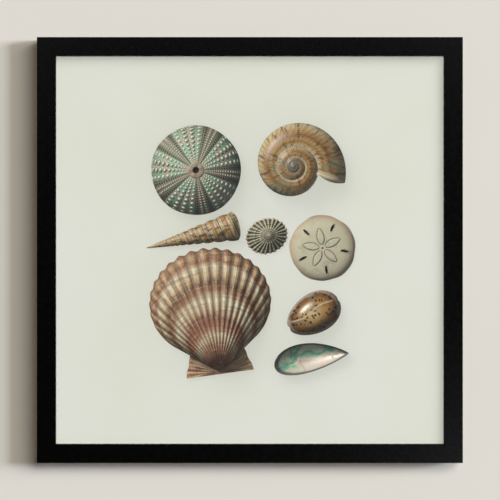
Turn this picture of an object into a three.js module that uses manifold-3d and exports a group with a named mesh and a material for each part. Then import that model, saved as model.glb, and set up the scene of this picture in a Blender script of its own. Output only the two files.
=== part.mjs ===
// A square framed print, glazed, as it hangs on a wall.
//
// Millimetres, +Z up, +X to the viewer's right, +Y towards the wall. The picture faces -Y.
// The origin is on the wall's surface, where the hanging nail leaves the wall and carries
// the middle notch of the hanger.
//
// From the front to the wall: four mitred rails whose front lip holds everything in, clear
// glazing, the printed sheet, a backing board, eight steel tabs that stand in slots in the
// rails and hold the board down, a sawtooth hanger on two nails, and two round bumpers that
// keep the lower edge off the wall.

import * as THREE from "three";
import { mergeVertices } from "three/addons/utils/BufferGeometryUtils.js";
import Module from "manifold-3d";

// Picture and moulding
const PRINT_SIDE = 400; // a 40 x 40 cm sheet
const REBATE_PLAY = 1; // between the sheet and the rebate, on each side
const LIP_WIDTH = 7; // how far the lip covers the sheet's edge
const FACE_WIDTH = 19; // the moulding seen from the front
const MOULDING_DEPTH = 22;
const LIP_THICKNESS = 4.5;
const EDGE_ROUND = 0.8; // radius along the front edges
const EDGE_STEPS = 3; // facets round each front edge
const MITRE_GAP = 0.3; // between two rails, across the joint

// Layers in the rebate
const GLAZING_THICKNESS = 2;
const PRINT_THICKNESS = 0.3;
const BACKING_THICKNESS = 3;
const LAYER_PLAY = 0.2;

// Bumpers
const BUMPER_RADIUS = 5;
const BUMPER_THICKNESS = 3;
const BUMPER_CHAMFER = 0.8;
const BUMPER_FROM_CORNER = 30;
const CONTACT_GAP = 0.1; // between a fitting and the wood it sits on

// Sawtooth hanger: a strip with its ends on the wood and its middle raised for the nail's head
const HANGER_LENGTH = 46;
const HANGER_HEIGHT = 8;
const HANGER_THICKNESS = 0.8;
const HANGER_RAISE = 1.2;
const HANGER_END = 8; // length of each flat end
const HANGER_RAMP = 2;
const HANGER_CORNER = 3;
const NOTCH_PITCH = 3;
const NOTCH_DEPTH = 1.6;
const NOTCHES_EACH_SIDE = 4;

// Nails through the hanger's ends
const NAIL_SHANK_RADIUS = 0.8;
const NAIL_HOLE_RADIUS = 1.1;
const NAIL_HEAD_RADIUS = 2.1;
const NAIL_HEAD_HEIGHT = 1;
const NAIL_REACH = 7; // into the wood
const NAIL_INSET = 4; // from the hanger's end

// Steel tabs over the backing board
const TAB_WIDTH = 10;
const TAB_THICKNESS = 0.6;
const TAB_IN_WOOD = 6;
const TAB_OVER_BOARD = 9;
const TAB_LIFT = 0.9; // the free end turns up for a fingertip
const TAB_LIFT_LENGTH = 2.2;
const TAB_OFFSET = 110; // from the rail's middle
const SLOT_PLAY = 0.3;

const ROUND_SIDES = 32;
const SMALL_ROUND_SIDES = 20;
const CORNER_STEPS = 6;

// Sizes that follow from those
const REBATE_SIDE = PRINT_SIDE + 2 * REBATE_PLAY;
const OUTER_SIDE = REBATE_SIDE - 2 * LIP_WIDTH + 2 * FACE_WIDTH;
const HALF = OUTER_SIDE / 2;
const WOOD_WIDTH = FACE_WIDTH - LIP_WIDTH; // behind the lip
const RAIL_BACK_Y = -BUMPER_THICKNESS;
const FRONT_Y = RAIL_BACK_Y - MOULDING_DEPTH;
const GLAZING_Y = FRONT_Y + LIP_THICKNESS + LAYER_PLAY;
const PRINT_Y = GLAZING_Y + GLAZING_THICKNESS + LAYER_PLAY;
const BACKING_Y = PRINT_Y + PRINT_THICKNESS + LAYER_PLAY;
const TAB_Y = BACKING_Y + BACKING_THICKNESS + LAYER_PLAY;
const TOP_Z = (WOOD_WIDTH + HANGER_HEIGHT) / 2 - NOTCH_DEPTH; // the hanger sits midway up the wood
const CENTRE_Z = TOP_Z - HALF;
const HANGER_CENTRE_Z = HANGER_HEIGHT / 2 - NOTCH_DEPTH;
const NAIL_X = HANGER_LENGTH / 2 - NAIL_INSET;

const lacquer = new THREE.MeshStandardMaterial({ color: 0x0c0c0d, roughness: 0.45, metalness: 0 });
const clear = new THREE.MeshStandardMaterial({
  color: 0xf2f6f4,
  roughness: 0.03,
  metalness: 0,
  transparent: true,
  opacity: 0.12,
});
const paper = new THREE.MeshStandardMaterial({ color: 0xdee0d3, roughness: 0.9, metalness: 0 });
const board = new THREE.MeshStandardMaterial({ color: 0x8a6a45, roughness: 0.85, metalness: 0 });
const steel = new THREE.MeshStandardMaterial({ color: 0xb4b6b8, roughness: 0.35, metalness: 1 });
const brass = new THREE.MeshStandardMaterial({ color: 0xb8964f, roughness: 0.35, metalness: 1 });
const rubber = new THREE.MeshStandardMaterial({ color: 0x3a3a3c, roughness: 0.8, metalness: 0 });

const wasm = await Module();
wasm.setup();

// A closed geometry as a solid for cutting, and back.
function solidOf(geometry) {
  const plain = geometry.clone();
  plain.deleteAttribute("normal");
  plain.deleteAttribute("uv");
  const merged = mergeVertices(plain, 1e-4);
  return new wasm.Manifold(
    new wasm.Mesh({
      numProp: 3,
      vertProperties: new Float32Array(merged.attributes.position.array),
      triVerts: new Uint32Array(merged.index.array),
    }),
  );
}

function geometryOf(solid) {
  const mesh = solid.getMesh();
  const geometry = new THREE.BufferGeometry();
  geometry.setAttribute("position", new THREE.BufferAttribute(mesh.vertProperties, 3));
  geometry.setIndex(new THREE.BufferAttribute(mesh.triVerts, 1));
  geometry.computeVertexNormals();
  return geometry;
}

// Corners as the points that a shape or a lathe profile takes.
function points(corners) {
  return corners.map(([x, y]) => new THREE.Vector2(x, y));
}

function named(name, geometry, material) {
  const mesh = new THREE.Mesh(geometry, material);
  mesh.name = name;
  return mesh;
}

// The moulding's section: x runs from the outer edge inwards, y from the front face back.
function mouldingSection() {
  const section = new THREE.Shape();
  section.moveTo(0, MOULDING_DEPTH);
  section.lineTo(0, EDGE_ROUND);
  section.absarc(EDGE_ROUND, EDGE_ROUND, EDGE_ROUND, Math.PI, 1.5 * Math.PI, false);
  section.lineTo(FACE_WIDTH - EDGE_ROUND, 0);
  section.absarc(FACE_WIDTH - EDGE_ROUND, EDGE_ROUND, EDGE_ROUND, 1.5 * Math.PI, 2 * Math.PI, false);
  section.lineTo(FACE_WIDTH, LIP_THICKNESS);
  section.lineTo(WOOD_WIDTH, LIP_THICKNESS);
  section.lineTo(WOOD_WIDTH, MOULDING_DEPTH);
  section.closePath();
  return section;
}

// The top rail about the picture's centre. The extrusion's two ends are drawn out to 45 degree mitres.
function railGeometry() {
  const geometry = new THREE.ExtrudeGeometry(mouldingSection(), {
    depth: 1,
    bevelEnabled: false,
    curveSegments: EDGE_STEPS,
  });
  const position = geometry.attributes.position;
  const trim = MITRE_GAP / Math.SQRT2;
  for (let i = 0; i < position.count; i++) {
    const inward = position.getX(i);
    const back = position.getY(i);
    const end = position.getZ(i) > 0.5 ? 1 : -1;
    position.setXYZ(i, end * (HALF - inward - trim), FRONT_Y + back, HALF - inward);
  }
  return geometry;
}

// A box cut into the rail's inner side for one tab, at x along the rail.
function tabSlot(x) {
  const height = TAB_THICKNESS + 2 * SLOT_PLAY;
  const depth = TAB_IN_WOOD + SLOT_PLAY;
  const slot = new THREE.BoxGeometry(TAB_WIDTH + 2 * SLOT_PLAY, height, 2 * depth);
  slot.translate(x, TAB_Y + TAB_THICKNESS / 2, HALF - WOOD_WIDTH);
  return slot;
}

// A hole for one of the hanger's nails, in the top rail's back.
function nailHole(x) {
  const deep = NAIL_REACH + SLOT_PLAY;
  const r = NAIL_HOLE_RADIUS;
  const hole = new THREE.CylinderGeometry(r, r, 2 * deep, SMALL_ROUND_SIDES);
  hole.translate(x, RAIL_BACK_Y, HANGER_CENTRE_Z - CENTRE_Z);
  return hole;
}

function rail(name, turn, cuts) {
  const cut = cuts.reduce((solid, tool) => solid.subtract(solidOf(tool)), solidOf(railGeometry()));
  const mesh = named(name, geometryOf(cut), lacquer);
  mesh.rotation.y = turn;
  return mesh;
}

function rails() {
  const slots = [tabSlot(-TAB_OFFSET), tabSlot(TAB_OFFSET)];
  const group = new THREE.Group();
  group.add(rail("rail_top", 0, [...slots, nailHole(-NAIL_X), nailHole(NAIL_X)]));
  group.add(rail("rail_right", Math.PI / 2, slots));
  group.add(rail("rail_bottom", Math.PI, slots));
  group.add(rail("rail_left", -Math.PI / 2, slots));
  return group;
}

// A flat square layer in the rebate, from its front face back.
function layer(name, side, frontY, thickness, material) {
  const mesh = named(name, new THREE.BoxGeometry(side, thickness, side), material);
  mesh.position.y = frontY + thickness / 2;
  return mesh;
}

// A tab of the top rail: a strip from inside the wood to over the board, its free end turned up.
function tabGeometry() {
  const inWood = WOOD_WIDTH - TAB_IN_WOOD;
  const free = WOOD_WIDTH + TAB_OVER_BOARD;
  const bend = free - TAB_LIFT_LENGTH;
  const side = new THREE.Shape(points([
    [inWood, 0],
    [bend, 0],
    [free, TAB_LIFT],
    [free, TAB_LIFT + TAB_THICKNESS],
    [bend, TAB_THICKNESS],
    [inWood, TAB_THICKNESS],
  ]));
  const geometry = new THREE.ExtrudeGeometry(side, { depth: TAB_WIDTH, bevelEnabled: false });
  geometry.translate(0, TAB_Y, -TAB_WIDTH / 2);
  geometry.rotateY(Math.PI / 2); // its length now runs down from the outer edge
  geometry.translate(0, 0, HALF);
  return geometry;
}

function tabs() {
  const group = new THREE.Group();
  const sides = ["top", "right", "bottom", "left"];
  sides.forEach((side, i) => {
    const onSide = new THREE.Group();
    onSide.rotation.y = (i * Math.PI) / 2;
    for (const end of ["a", "b"]) {
      const tab = named(`tab_${side}_${end}`, tabGeometry(), steel);
      tab.position.x = end === "a" ? -TAB_OFFSET : TAB_OFFSET;
      onSide.add(tab);
    }
    group.add(onSide);
  });
  return group;
}

// The hanger's strip seen from above: flat ends on the wood, ramps, and the raised middle.
function hangerStrip() {
  const end = HANGER_LENGTH / 2;
  const foot = end - HANGER_END;
  const brow = foot - HANGER_RAMP;
  const near = [
    [-end, 0],
    [-foot, 0],
    [-brow, HANGER_RAISE],
    [brow, HANGER_RAISE],
    [foot, 0],
    [end, 0],
  ];
  const far = near.map(([x, y]) => [x, y + HANGER_THICKNESS]).reverse();
  const above = new THREE.Shape(points([...near, ...far]));
  const strip = new THREE.ExtrudeGeometry(above, { depth: 2 * HANGER_HEIGHT, bevelEnabled: false });
  strip.translate(0, RAIL_BACK_Y + CONTACT_GAP, -HANGER_HEIGHT);
  return strip;
}

// The hanger seen from the wall: rounded ends, a nail hole in each, and notches along the lower edge.
function hangerOutline() {
  const end = HANGER_LENGTH / 2;
  const low = -NOTCH_DEPTH;
  const high = HANGER_HEIGHT - NOTCH_DEPTH;
  const r = HANGER_CORNER;
  const outline = new THREE.Shape();
  outline.moveTo(-end + r, low);
  for (let k = -NOTCHES_EACH_SIDE; k <= NOTCHES_EACH_SIDE; k++) {
    const x = k * NOTCH_PITCH;
    outline.lineTo(x - NOTCH_PITCH / 2, low);
    outline.lineTo(x, 0);
  }
  outline.lineTo((NOTCHES_EACH_SIDE + 0.5) * NOTCH_PITCH, low);
  outline.lineTo(end - r, low);
  outline.absarc(end - r, low + r, r, -Math.PI / 2, 0, false);
  outline.absarc(end - r, high - r, r, 0, Math.PI / 2, false);
  outline.absarc(-end + r, high - r, r, Math.PI / 2, Math.PI, false);
  outline.absarc(-end + r, low + r, r, Math.PI, 1.5 * Math.PI, false);
  for (const x of [-NAIL_X, NAIL_X]) {
    const hole = new THREE.Path();
    hole.absarc(x, HANGER_CENTRE_Z, NAIL_HOLE_RADIUS, 0, 2 * Math.PI, true);
    outline.holes.push(hole);
  }
  const plate = new THREE.ExtrudeGeometry(outline, {
    depth: MOULDING_DEPTH,
    bevelEnabled: false,
    curveSegments: CORNER_STEPS,
  });
  plate.rotateX(Math.PI / 2); // the outline now stands up, and its thickness runs along Y
  plate.translate(0, MOULDING_DEPTH / 2, 0);
  return plate;
}

function hanger() {
  const cut = solidOf(hangerStrip()).intersect(solidOf(hangerOutline()));
  return named("sawtooth_hanger", geometryOf(cut), brass);
}

function hangerNail(name, x) {
  const head = [
    [NAIL_HEAD_RADIUS, 0],
    [0.86 * NAIL_HEAD_RADIUS, 0.6 * NAIL_HEAD_HEIGHT],
    [0.5 * NAIL_HEAD_RADIUS, 0.92 * NAIL_HEAD_HEIGHT],
    [0, NAIL_HEAD_HEIGHT],
  ];
  const underHead = RAIL_BACK_Y + 2 * CONTACT_GAP + HANGER_THICKNESS;
  const tip = RAIL_BACK_Y - NAIL_REACH - underHead;
  const shank = [
    [0, tip],
    [NAIL_SHANK_RADIUS, tip + 2 * NAIL_SHANK_RADIUS],
    [NAIL_SHANK_RADIUS, 0],
  ];
  const geometry = new THREE.LatheGeometry(points([...shank, ...head]), SMALL_ROUND_SIDES);
  const nail = named(name, geometry, brass);
  nail.position.set(x, underHead, HANGER_CENTRE_Z);
  return nail;
}

function bumper(name, x) {
  const thickness = BUMPER_THICKNESS - CONTACT_GAP;
  const profile = [
    [0, -thickness],
    [BUMPER_RADIUS, -thickness],
    [BUMPER_RADIUS, -BUMPER_CHAMFER],
    [BUMPER_RADIUS - BUMPER_CHAMFER, 0],
    [0, 0],
  ];
  const geometry = new THREE.LatheGeometry(points(profile), ROUND_SIDES);
  const pad = named(name, geometry, rubber);
  pad.position.set(x, 0, TOP_Z - OUTER_SIDE + WOOD_WIDTH / 2);
  return pad;
}

const framedPrint = new THREE.Group();
const aboutCentre = new THREE.Group();
aboutCentre.position.z = CENTRE_Z;
aboutCentre.add(rails());
aboutCentre.add(layer("glazing", REBATE_SIDE - REBATE_PLAY, GLAZING_Y, GLAZING_THICKNESS, clear));
aboutCentre.add(layer("print_sheet", PRINT_SIDE, PRINT_Y, PRINT_THICKNESS, paper));
aboutCentre.add(layer("backing_board", REBATE_SIDE - REBATE_PLAY, BACKING_Y, BACKING_THICKNESS, board));
aboutCentre.add(tabs());
framedPrint.add(aboutCentre);
framedPrint.add(hanger());
framedPrint.add(hangerNail("hanger_nail_left", -NAIL_X));
framedPrint.add(hangerNail("hanger_nail_right", NAIL_X));
framedPrint.add(bumper("bumper_left", BUMPER_FROM_CORNER - HALF));
framedPrint.add(bumper("bumper_right", HALF - BUMPER_FROM_CORNER));

export default framedPrint;
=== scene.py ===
import math

import bmesh
import bpy
import numpy as np
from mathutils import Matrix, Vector
from mathutils.geometry import delaunay_2d_cdt


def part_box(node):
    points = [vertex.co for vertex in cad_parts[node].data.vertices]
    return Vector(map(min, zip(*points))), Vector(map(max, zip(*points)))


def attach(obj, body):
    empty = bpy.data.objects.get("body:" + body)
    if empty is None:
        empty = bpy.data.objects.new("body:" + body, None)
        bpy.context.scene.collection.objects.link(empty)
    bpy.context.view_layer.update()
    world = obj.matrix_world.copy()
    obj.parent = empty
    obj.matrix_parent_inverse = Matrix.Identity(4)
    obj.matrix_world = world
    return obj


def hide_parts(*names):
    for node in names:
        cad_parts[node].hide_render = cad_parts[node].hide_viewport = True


# The looks of a square framed print on a wall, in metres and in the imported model's frame: +X right,
# +Y into the wall, +Z up. The materials and the picture's shells are reckoned in millimetres.

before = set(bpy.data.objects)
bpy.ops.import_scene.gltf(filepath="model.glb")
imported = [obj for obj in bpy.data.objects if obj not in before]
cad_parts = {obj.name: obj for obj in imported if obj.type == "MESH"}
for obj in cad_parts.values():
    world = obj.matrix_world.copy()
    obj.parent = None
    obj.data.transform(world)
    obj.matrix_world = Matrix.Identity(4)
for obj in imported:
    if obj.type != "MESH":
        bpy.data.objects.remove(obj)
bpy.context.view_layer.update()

MM = 0.001
TURN = 2 * math.pi
TOP_LOW, TOP_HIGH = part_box("rail_top")
FOOT_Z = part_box("rail_bottom")[0].z
HALF = (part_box("rail_right")[1].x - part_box("rail_left")[0].x) / 2
FACE = TOP_HIGH.z - TOP_LOW.z
FRONT_Y = TOP_LOW.y
BACK_Y = TOP_HIGH.y
CENTRE = Vector((0, FRONT_Y, (TOP_HIGH.z + FOOT_Z) / 2))
GLAZING_LOW, GLAZING_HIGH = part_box("glazing")
PRINT_LOW, PRINT_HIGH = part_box("print_sheet")
BACKING_LOW, BACKING_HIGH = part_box("backing_board")
REBATE_PLAY = 0.5 * MM
LAYER_GAP = 0.2 * MM
WOOD = HALF - GLAZING_HIGH.x - REBATE_PLAY  # the rail's width behind its lip
LIP = GLAZING_LOW.y - FRONT_Y - LAYER_GAP  # the lip's thickness


def linear(r, g, b):
    """A colour given as 0 to 255 on a screen, as Blender's linear values."""
    def channel(v):
        v /= 255
        return v / 12.92 if v <= 0.04045 else ((v + 0.055) / 1.055) ** 2.4

    return (channel(r), channel(g), channel(b), 1.0)


class Term:
    """A number or colour in a material, held as the socket that gives it, for plain arithmetic."""

    def __init__(self, graph, socket):
        self.graph, self.socket = graph, socket

    def __add__(self, other):
        return self.graph.math("ADD", self, other)

    def __sub__(self, other):
        return self.graph.math("SUBTRACT", self, other)

    def __rsub__(self, other):
        return self.graph.math("SUBTRACT", other, self)

    def __mul__(self, other):
        return self.graph.math("MULTIPLY", self, other)

    def __truediv__(self, other):
        return self.graph.math("DIVIDE", self, other)

    def __pow__(self, other):
        return self.graph.math("POWER", self, other)

    __radd__ = __add__
    __rmul__ = __mul__


class Graph:
    """The nodes of one material, made in the order in which they are reckoned. A name that isn't
    defined here is a Math node's operation, such as g.floor(x) or g.minimum(a, b)."""

    def __init__(self, name):
        self.material = bpy.data.materials.new(name)
        self.material.use_nodes = True
        self.tree = self.material.node_tree
        self.tree.nodes.clear()

    def __getattr__(self, name):
        return lambda *values: self.math(name.upper(), *values)

    def node(self, kind, sockets=None, **settings):
        made = self.tree.nodes.new(kind)
        for key, value in settings.items():
            setattr(made, key, value)
        for key, value in (sockets or {}).items():
            self.feed(made.inputs[key], value)
        return made

    def feed(self, socket, value):
        if isinstance(value, Term):
            self.tree.links.new(value.socket, socket)
        else:
            socket.default_value = value

    def term(self, kind, sockets=None, output=0, **settings):
        """A new node's output."""
        return Term(self, self.node(kind, sockets, **settings).outputs[output])

    def math(self, operation, *values):
        return self.term("ShaderNodeMath", dict(enumerate(values)), operation=operation)

    def vector(self, x, y, z):
        return self.term("ShaderNodeCombineXYZ", {0: x, 1: y, 2: z})

    def parts(self, vector):
        made = self.node("ShaderNodeSeparateXYZ", {0: vector})
        return [Term(self, out) for out in made.outputs]

    def spot(self):
        """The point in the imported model's frame, in millimetres."""
        return self.scaled(self.term("ShaderNodeTexCoord", output="Object"), 1 / MM)

    def place(self):
        """The same point's X, Y and Z."""
        return self.parts(self.spot())

    def attribute(self, name):
        """What the mesh's points carry under this name."""
        kind = {"attribute_type": "GEOMETRY", "attribute_name": name}
        return self.term("ShaderNodeAttribute", output="Vector", **kind)

    def vector_math(self, operation, a, b=None, output=0):
        """Arithmetic on vectors or colours. SCALE takes a number as b."""
        sockets = {0: a}
        if b is not None:
            sockets["Scale" if operation == "SCALE" else 1] = b
        return self.term("ShaderNodeVectorMath", sockets, output, operation=operation)

    def scaled(self, vector, by):
        return self.vector_math("SCALE", vector, by)

    def dot(self, a, b):
        return self.vector_math("DOT_PRODUCT", a, b, "Value")

    def clamp(self, value, low=0.0, high=1.0):
        return self.maximum(self.minimum(value, high), low)

    def hypot(self, a, b):
        return self.sqrt(a * a + b * b)

    def wave(self, turns):
        """A cosine that repeats each whole turn."""
        return self.cosine(turns * TURN)

    def step(self, value, low, high, to_low=0.0, to_high=1.0):
        """A smooth step from to_low, where value is low, to to_high, where it is high."""
        sockets = {"Value": value, "From Min": low, "From Max": high, "To Min": to_low, "To Max": to_high}
        return self.term("ShaderNodeMapRange", sockets, interpolation_type="SMOOTHSTEP")

    def noise(self, vector, scale=1.0, detail=2.0, roughness=0.5, distortion=0.0, output="Fac"):
        sockets = {"Vector": vector, "Scale": scale, "Detail": detail}
        sockets.update({"Roughness": roughness, "Distortion": distortion})
        return self.term("ShaderNodeTexNoise", sockets, output)

    def grain(self, x, z, layer, scale=1.0, roughness=0.6, distortion=0.0):
        """Noise over x and z. Each layer is one of its own."""
        return self.noise(self.vector(x, layer, z), scale, 3.0, roughness, distortion)

    def cells(self, x, y, z, scale):
        """How far the point lies from the nearest of many scattered points."""
        return self.term("ShaderNodeTexVoronoi", {"Vector": self.vector(x, y, z), "Scale": scale})

    def blend(self, a, b, t):
        """Colour b over colour a, by t."""
        return self.term("ShaderNodeMix", {0: t, 6: a, 7: b}, 2, data_type="RGBA")

    def ramp(self, value, *stops):
        """A colour ramp through (place, red, green, blue) stops, with colours of 0 to 255."""
        made = self.node("ShaderNodeValToRGB", {0: value})
        elements = made.color_ramp.elements
        for _ in stops[2:]:
            elements.new(0.5)
        for element, (place, *colour) in zip(elements, stops):
            element.position = place
            element.color = linear(*colour)
        return Term(self, made.outputs[0])

    def washes(self, colour, *coats):
        """Coats of paint over the colour, each a paint of 0 to 255 and how thickly it lies there, or
        else a value, its low and high between which the coat thickens, and at most how thick."""
        for paint, value, *reach in coats:
            thickness = self.step(value, *reach[:2], 0.0, *reach[2:]) if reach else value
            colour = self.blend(colour, linear(*paint), thickness)
        return colour

    def bump(self, height, distance, strength):
        sockets = {"Height": height, "Distance": distance, "Strength": strength}
        return self.term("ShaderNodeBump", sockets)

    def surface(self, **sockets):
        """Ends the material in a Principled shader. Names take _ for a space."""
        named = {key.replace("_", " "): value for key, value in sockets.items()}
        return self.end(self.term("ShaderNodeBsdfPrincipled", named))

    def behind(self):
        """1 where a ray meets a face from behind."""
        return self.term("ShaderNodeNewGeometry", output="Backfacing")

    def mix(self, share, first, second):
        return self.term("ShaderNodeMixShader", {0: share, 1: first, 2: second})

    def end(self, shader):
        self.node("ShaderNodeOutputMaterial", {"Surface": shader})
        return self.material


class Numbers:
    """Graph's names for plain arrays, so that a shell's relief and its paint share their formulas."""

    sine, cosine, tangent, arcsine, arctan2 = np.sin, np.cos, np.tan, np.arcsin, np.arctan2
    maximum, absolute, floor, sqrt, hypot = np.maximum, np.abs, np.floor, np.sqrt, np.hypot
    fract = staticmethod(lambda v: v % 1)
    clamp = staticmethod(lambda v, low=0.0, high=1.0: np.clip(v, low, high))
    logarithm = staticmethod(lambda v, base: np.log(v) / math.log(base))


# Mesh helpers


def added(name, data):
    """A new object in the scene."""
    made = bpy.data.objects.new(name, data)
    bpy.context.scene.collection.objects.link(made)
    return made


SMOOTH_DEG = 35.0
BEVEL_DEG = 30.0


def piece(name, mesh, slot, *nodes, edge=0.0):
    """Adds a mesh as a visible piece that stands for the CAD nodes named, its edges rounded by edge."""
    mesh.shade_smooth()
    mesh.set_sharp_from_angle(angle=math.radians(SMOOTH_DEG))
    made = added(name, mesh)
    if edge:
        bevel = made.modifiers.new("edges", "BEVEL")
        bevel.width = edge
        bevel.segments = 2
        bevel.limit_method = "ANGLE"
        bevel.angle_limit = math.radians(BEVEL_DEG)
    made.modifiers.new("flat_faces", "WEIGHTED_NORMAL").keep_sharp = True
    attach(made, "root")
    if nodes:
        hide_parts(*nodes)
    return made


def mesh_of(name, points, faces, materials, indices=None):
    mesh = bpy.data.meshes.new(name)
    mesh.from_pydata([tuple(p) for p in points], [], faces)
    for material in materials:
        mesh.materials.append(material)
    if indices is not None:
        mesh.polygons.foreach_set("material_index", indices)
    mesh.update()
    fixed = bmesh.new()
    fixed.from_mesh(mesh)
    bmesh.ops.recalc_face_normals(fixed, faces=fixed.faces)
    fixed.to_mesh(mesh)
    fixed.free()
    return mesh


def arc(cx, cy, radius, start_deg, end_deg, steps):
    """Points on an arc, both ends included."""
    angles = np.radians(np.linspace(start_deg, end_deg, steps + 1))
    return [(cx + radius * math.cos(a), cy + radius * math.sin(a)) for a in angles]


def block(name, low, high, material):
    corners = [(x, y, z) for x in (low.x, high.x) for y in (low.y, high.y) for z in (low.z, high.z)]
    faces = [(0, 1, 3, 2), (4, 5, 7, 6), (0, 1, 5, 4), (2, 3, 7, 6), (0, 2, 6, 4), (1, 3, 7, 5)]
    return mesh_of(name, corners, faces, [material])


def swept(ends):
    """Points and faces of a solid between two or more loops of the same length, capped."""
    count = len(ends[0])
    points = [p for loop in ends for p in loop]
    faces = [tuple(range(count)), tuple(range(len(points) - count, len(points)))]
    for low in range(0, len(points) - count, count):
        for i in range(count):
            j = (i + 1) % count
            faces.append((low + i, low + j, low + count + j, low + count + i))
    return points, faces


def lathe(profile, steps, at, material, name):
    """A solid turned about Y from (radius, y) points, whose ends lie on the axis."""
    rings = profile[1:-1]
    points = [(at.x, at.y + profile[0][1], at.z)]
    for radius, y in rings:
        for k in range(steps):
            a = TURN * k / steps
            points.append((at.x + radius * math.cos(a), at.y + y, at.z + radius * math.sin(a)))
    points.append((at.x, at.y + profile[-1][1], at.z))
    last = len(points) - 1
    top = 1 + (len(rings) - 1) * steps
    faces = []
    for k in range(steps):
        j = (k + 1) % steps
        faces.append((0, 1 + k, 1 + j))
        for low in range(1, top, steps):
            faces.append((low + k, low + j, low + steps + j, low + steps + k))
        faces.append((top + k, top + j, last))
    return mesh_of(name, points, faces, [material])


# Materials of the frame and its fittings


def lacquer():
    g = Graph("black_lacquer")
    x, y, z = g.place()
    grain = g.noise(g.vector(x, y * 0.8, z), 0.9, 3.0, 0.6)
    film = g.noise(g.spot(), 0.16)
    return g.surface(
        Base_Color=g.blend(linear(3, 3, 3), linear(4, 4, 5), g.step(film, 0.3, 0.75)),
        Roughness=g.step(film, 0.2, 0.8, 0.24, 0.3),
        Specular_IOR_Level=0.085,
        Normal=g.bump(grain, 0.00004, 0.15),
    )


def raw_wood():
    """Pale, close-grained wood. Its fibres run along the rail, whichever way that lies."""
    g = Graph("raw_wood")
    x, y, z = g.place()
    from_middle = (g.absolute(x), g.absolute(z - CENTRE.z / MM))
    across, along = g.minimum(*from_middle), g.maximum(*from_middle)
    figure = g.noise(g.vector(across * 0.03, y * 0.5, along * 0.6), 1.0, 4.0, 0.6, 0.4)
    pores = g.noise(g.vector(across * 0.12, y * 3.0, along * 3.5), 1.0, 2.0, 0.7)
    colour = g.ramp(figure, (0.25, 176, 138, 92), (0.5, 202, 166, 118), (0.8, 220, 190, 146))
    colour = g.washes(colour, ((120, 86, 52), pores, 0.58, 0.8, 0.5))
    return g.surface(Base_Color=colour, Roughness=0.78, Normal=g.bump(pores, 0.0001, 0.6))


def hardboard():
    g = Graph("hardboard")
    fibres = g.noise(g.spot(), 1.1, 5.0, 0.75, 1.5)
    clouds = g.noise(g.spot(), 0.03, 3.0, 0.6)
    colour = g.blend(linear(126, 92, 58), linear(158, 122, 82), g.step(fibres, 0.3, 0.7))
    colour = g.washes(colour, ((112, 82, 52), clouds, 0.4, 0.8, 0.22))
    return g.surface(Base_Color=colour, Roughness=0.82, Normal=g.bump(fibres, 0.00012, 0.7))


def clear_glass():
    """Clear glazing that shines on the side a ray comes in by and lets it out again freely."""
    g = Graph("glazing")
    see = g.term("ShaderNodeBsdfTransparent", {"Color": (0.987, 0.988, 0.986, 1)})
    shine = g.term("ShaderNodeBsdfGlossy", {"Color": (1, 1, 1, 1), "Roughness": 0.03})
    share = g.term("ShaderNodeFresnel", {"IOR": 1.3}) * (1.0 - g.behind())
    return g.end(g.mix(share, see, shine))


def metal(name, low, high, roughness):
    """Plated or bright sheet metal with fine rolling marks."""
    g = Graph(name)
    marks = g.noise(g.spot(), 2.0, 3.0, 0.6)
    clouds = g.noise(g.spot(), 0.35)
    return g.surface(
        Base_Color=g.blend(low, high, g.step(clouds, 0.3, 0.7)),
        Metallic=1.0,
        Roughness=g.step(marks, 0.25, 0.75, roughness - 0.07, roughness + 0.1),
        Normal=g.bump(marks, 0.00002, 0.5),
    )


def soft_rubber():
    g = Graph("rubber")
    skin = g.noise(g.spot(), 3.0, 3.0, 0.6)
    colour = g.blend(linear(46, 46, 48), linear(62, 62, 64), g.step(skin, 0.3, 0.7))
    return g.surface(Base_Color=colour, Roughness=0.75, Normal=g.bump(skin, 0.00005, 0.5))


# Frame


EDGE = 0.8 * MM  # radius of the front edges
BACK_EDGE = 0.4 * MM
LIP_EDGE = 0.25 * MM
PANE_EDGE = 0.3 * MM
BOARD_EDGE = 0.25 * MM
STRIP_EDGE = 0.12 * MM


def rail_section():
    """(inward, back) points of the moulding, and how many of its faces from the first are lacquered."""
    depth = BACK_Y - FRONT_Y
    lacquered = [(0, depth - BACK_EDGE)]
    lacquered += arc(EDGE, EDGE, EDGE, 180, 270, 6)
    lacquered += arc(FACE - EDGE, EDGE, EDGE, 270, 360, 6)
    lacquered += arc(FACE - LIP_EDGE, LIP - LIP_EDGE, LIP_EDGE, 0, 90, 3)
    raw = [(WOOD, LIP), (WOOD, depth - LIP_EDGE), (WOOD - LIP_EDGE, depth), (BACK_EDGE, depth)]
    return lacquered + raw, len(lacquered) - 1


def rails(paint, wood):
    """Four rails whose mitred ends meet."""
    section, painted = rail_section()
    for turn, name in enumerate(("rail_top", "rail_right", "rail_bottom", "rail_left")):
        angle = turn * math.pi / 2
        c, s = math.cos(angle), math.sin(angle)
        loops = []
        for end in (-1, 1):
            loop = []
            for inward, back in section:
                x = end * (HALF - inward)
                z = HALF - inward
                loop.append((c * x + s * z, FRONT_Y + back, CENTRE.z - s * x + c * z))
            loops.append(loop)
        points, faces = swept(loops)
        sides = [0 if i < painted or i == len(section) - 1 else 1 for i in range(len(section))]
        mesh = mesh_of(name, points, faces, [paint, wood], [0, 0] + sides)
        piece(name + "_moulding", mesh, "frame", name)


def pane(material):
    mesh = block("clear_pane", GLAZING_LOW, GLAZING_HIGH, material)
    made = piece("clear_pane", mesh, "glazing", "glazing", edge=PANE_EDGE)
    made.visible_shadow = False


def backing(material):
    mesh = block("hardboard_back", BACKING_LOW, BACKING_HIGH, material)
    piece("hardboard_back", mesh, "backing", "backing_board", edge=BOARD_EDGE)


TAB_THICKNESS = 0.6 * MM
TAB_CORNER = 3.0 * MM
TAB_LIFT = 0.9 * MM
TAB_BEND = 2.2 * MM
TAB_EDGE = 0.1 * MM


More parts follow.
